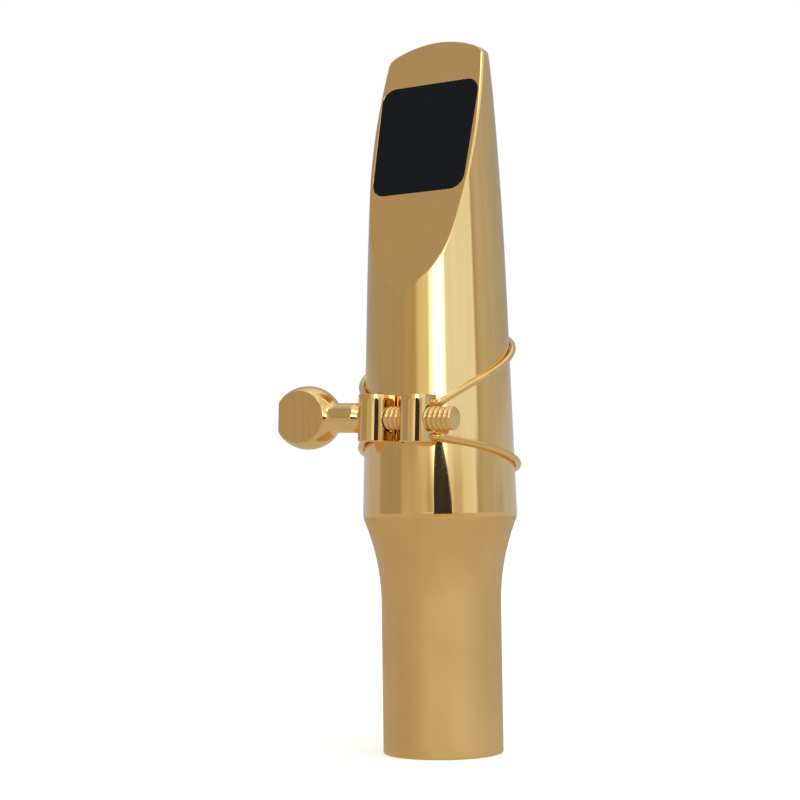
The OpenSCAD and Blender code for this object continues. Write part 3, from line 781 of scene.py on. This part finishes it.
SHOULDER_PANELS = [
    (-180, (0.55, 0.57, 0.66)), (-97, (0.54, 0.53, 0.56)), (-75, (0.55, 0.52, 0.53)), (-68, (0.41, 0.37, 0.32)),
    (-31, (0.41, 0.35, 0.27)), (-26, (0.58, 0.51, 0.38)), (1, (0.6, 0.53, 0.4)), (6, (0.66, 0.6, 0.47)),
    (10, (0.62, 0.53, 0.38)), (13, (0.52, 0.42, 0.28)), (18, (0.42, 0.35, 0.27)), (22, (0.9, 0.9, 0.85)),
    (43, (0.95, 0.95, 0.9)), (47, (0.85, 0.83, 0.75)), (54, (0.6, 0.52, 0.43)), (62, (0.64, 0.58, 0.47)),
    (67, (0.82, 0.82, 0.76)), (85, (0.86, 0.93, 0.9)), (90, (0.45, 0.39, 0.3)), (99, (0.52, 0.5, 0.43)),
    (115, (0.52, 0.5, 0.47)), (146, (0.56, 0.59, 0.74)), (180, (0.55, 0.57, 0.66))]
UPPER_PANELS = [
    (-180, (0.4, 0.42, 0.45)), (-120, (0.42, 0.42, 0.45)), (-100, (0.41, 0.39, 0.38)), (-60, (0.43, 0.39, 0.33)),
    (-29, (0.43, 0.385, 0.31)), (-24, (0.48, 0.4, 0.27)), (-6, (0.49, 0.41, 0.27)), (1, (0.76, 0.76, 0.57)),
    (15, (0.8, 0.81, 0.64)), (20, (2.0, 2.0, 2.0)), (24, (3.5, 3.5, 3.5)), (39, (3.5, 3.5, 3.5)),
    (43, (0.9, 0.98, 1.05)), (91, (0.88, 0.99, 1.08)), (94, (0.45, 0.4, 0.32)), (99, (0.5, 0.47, 0.4)),
    (104, (0.55, 0.54, 0.51)), (145, (0.47, 0.48, 0.51)), (180, (0.4, 0.42, 0.45))]
HIGH_PANELS = [
    (-180, (0.5, 0.5, 0.5)), (-120, (0.45, 0.43, 0.4)), (-60, (0.45, 0.4, 0.34)), (0, (0.46, 0.41, 0.35)),
    (18, (0.6, 0.56, 0.45)), (26, (0.95, 0.95, 0.9)), (41, (0.95, 0.95, 0.9)), (45, (1.0, 1.0, 0.98)),
    (97, (0.95, 1.0, 1.05)), (102, (0.5, 0.47, 0.42)), (145, (0.48, 0.48, 0.5)), (180, (0.5, 0.5, 0.5))]
STEEP_PANELS = [
    (-180, (0.9, 0.9, 0.9)), (-120, (0.7, 0.68, 0.64)), (-60, (0.43, 0.385, 0.33)), (0, (0.44, 0.39, 0.335)),
    (19, (0.55, 0.52, 0.46)), (23, (3.0, 3.0, 3.0)), (39, (3.0, 3.0, 3.0)), (45, (0.9, 0.9, 0.88)),
    (88, (0.8, 0.8, 0.8)), (145, (0.85, 0.85, 0.85)), (180, (0.9, 0.9, 0.9))]
LOWER_PANELS = [
    (-180, (0.55, 0.56, 0.6)), (-100, (0.58, 0.54, 0.5)), (-60, (0.57, 0.5, 0.43)), (-5, (0.58, 0.5, 0.38)),
    (20, (0.56, 0.485, 0.34)), (45, (0.56, 0.485, 0.34)), (85, (0.63, 0.58, 0.5)), (120, (0.6, 0.58, 0.56)),
    (180, (0.55, 0.56, 0.6))]
# Each ring takes over from the one below it between two elevations, in degrees. The top and the ground are plain.
RINGS = [(LEVEL_PANELS, -1.0, -0.3), (SHOULDER_PANELS, 2.3, 3.1), (UPPER_PANELS, 3.6, 6.4), (HIGH_PANELS, 14, 24),
         (STEEP_PANELS, 38, 48)]
PLAIN_LIGHT = [((1.0, 0.98, 0.94), 55, 75), ((0.61, 0.54, 0.45), -12, -40)]


def studio_light():
    world = bpy.data.worlds.new("studio")
    scene.world = world
    world.use_nodes = True
    nodes, links = world.node_tree.nodes, world.node_tree.links
    nodes.clear()

    def math_node(op, a, b=None):
        node = nodes.new("ShaderNodeMath")
        node.operation = op
        for socket, value in zip(node.inputs, (a, b)):
            if isinstance(value, (int, float)):
                socket.default_value = value
            elif value is not None:
                links.new(value, socket)
        return node.outputs["Value"]

    def step(value, low, high):
        node = nodes.new("ShaderNodeMapRange")
        node.interpolation_type = "SMOOTHSTEP"
        node.inputs["From Min"].default_value, node.inputs["From Max"].default_value = low, high
        links.new(value, node.inputs["Value"])
        return node.outputs["Result"]

    def ring(panels, azimuth):
        node = nodes.new("ShaderNodeValToRGB")
        elements = node.color_ramp.elements
        while len(elements) < len(panels):
            elements.new(0.5)
        for element, (degrees, colour) in zip(elements, panels):
            element.position = (degrees + 180) / 360
            element.color = (*colour, 1)
        links.new(azimuth, node.inputs["Fac"])
        return node.outputs["Color"]

    def mix(factor, a, b):
        node = nodes.new("ShaderNodeMix")
        node.data_type = "RGBA"
        links.new(factor, node.inputs["Factor"])
        for socket, value in ((node.inputs[6], a), (node.inputs[7], b)):
            if isinstance(value, tuple):
                socket.default_value = (*value, 1)
            else:
                links.new(value, socket)
        return node.outputs[2]

    place = nodes.new("ShaderNodeTexCoord")
    parts = nodes.new("ShaderNodeSeparateXYZ")
    links.new(place.outputs["Generated"], parts.inputs["Vector"])
    azimuth = math_node("ARCTAN2", parts.outputs["X"], math_node("MULTIPLY", parts.outputs["Y"], -1.0))
    azimuth = math_node("ADD", math_node("DIVIDE", azimuth, 2 * math.pi), 0.5)
    elevation = math_node("MULTIPLY", math_node("ARCSINE", parts.outputs["Z"]), 180 / math.pi)
    colour = ring(LOWER_PANELS, azimuth)
    for panels, low, high in RINGS:
        colour = mix(step(elevation, low, high), colour, ring(panels, azimuth))
    for plain, low, high in PLAIN_LIGHT:
        colour = mix(step(elevation, low, high), colour, plain)
    lit = nodes.new("ShaderNodeBackground")
    links.new(colour, lit.inputs["Color"])
    white = nodes.new("ShaderNodeBackground")
    white.inputs["Color"].default_value = (1, 1, 1, 1)
    path = nodes.new("ShaderNodeLightPath")
    choose = nodes.new("ShaderNodeMixShader")
    links.new(path.outputs["Is Camera Ray"], choose.inputs["Fac"])
    links.new(lit.outputs["Background"], choose.inputs[1])
    links.new(white.outputs["Background"], choose.inputs[2])
    out = nodes.new("ShaderNodeOutputWorld")
    links.new(choose.outputs["Shader"], out.inputs["Surface"])


studio_light()
scene.view_settings.view_transform = "Standard"


# Camera --------------------------------------------------------------------------------------------------------------
def photo_camera():
    data = bpy.data.cameras.new("camera")
    data.lens, data.sensor_width = 83.57, 36.0
    data.clip_start, data.clip_end = 0.01, 50
    obj = bpy.data.objects.new("camera", data)
    scene.collection.objects.link(obj)
    scene.camera = obj
    a, e, roll = PHOTO_AZIMUTH, math.radians(-3.318), math.radians(-0.776)
    distance, aside, height = 278.57, -5.755, 52.44
    back = Vector((math.sin(a) * math.cos(e), -math.cos(a) * math.cos(e), math.sin(e)))
    right = Vector((math.cos(a), math.sin(a), 0))
    up = back.cross(right)
    place = right * aside + Vector((0, 0, height)) + back * distance
    across = right * math.cos(roll) + up * math.sin(roll)
    above = up * math.cos(roll) - right * math.sin(roll)
    obj.matrix_world = Matrix.Translation(place * MM) @ Matrix((across, above, back)).transposed().to_4x4()


photo_camera()
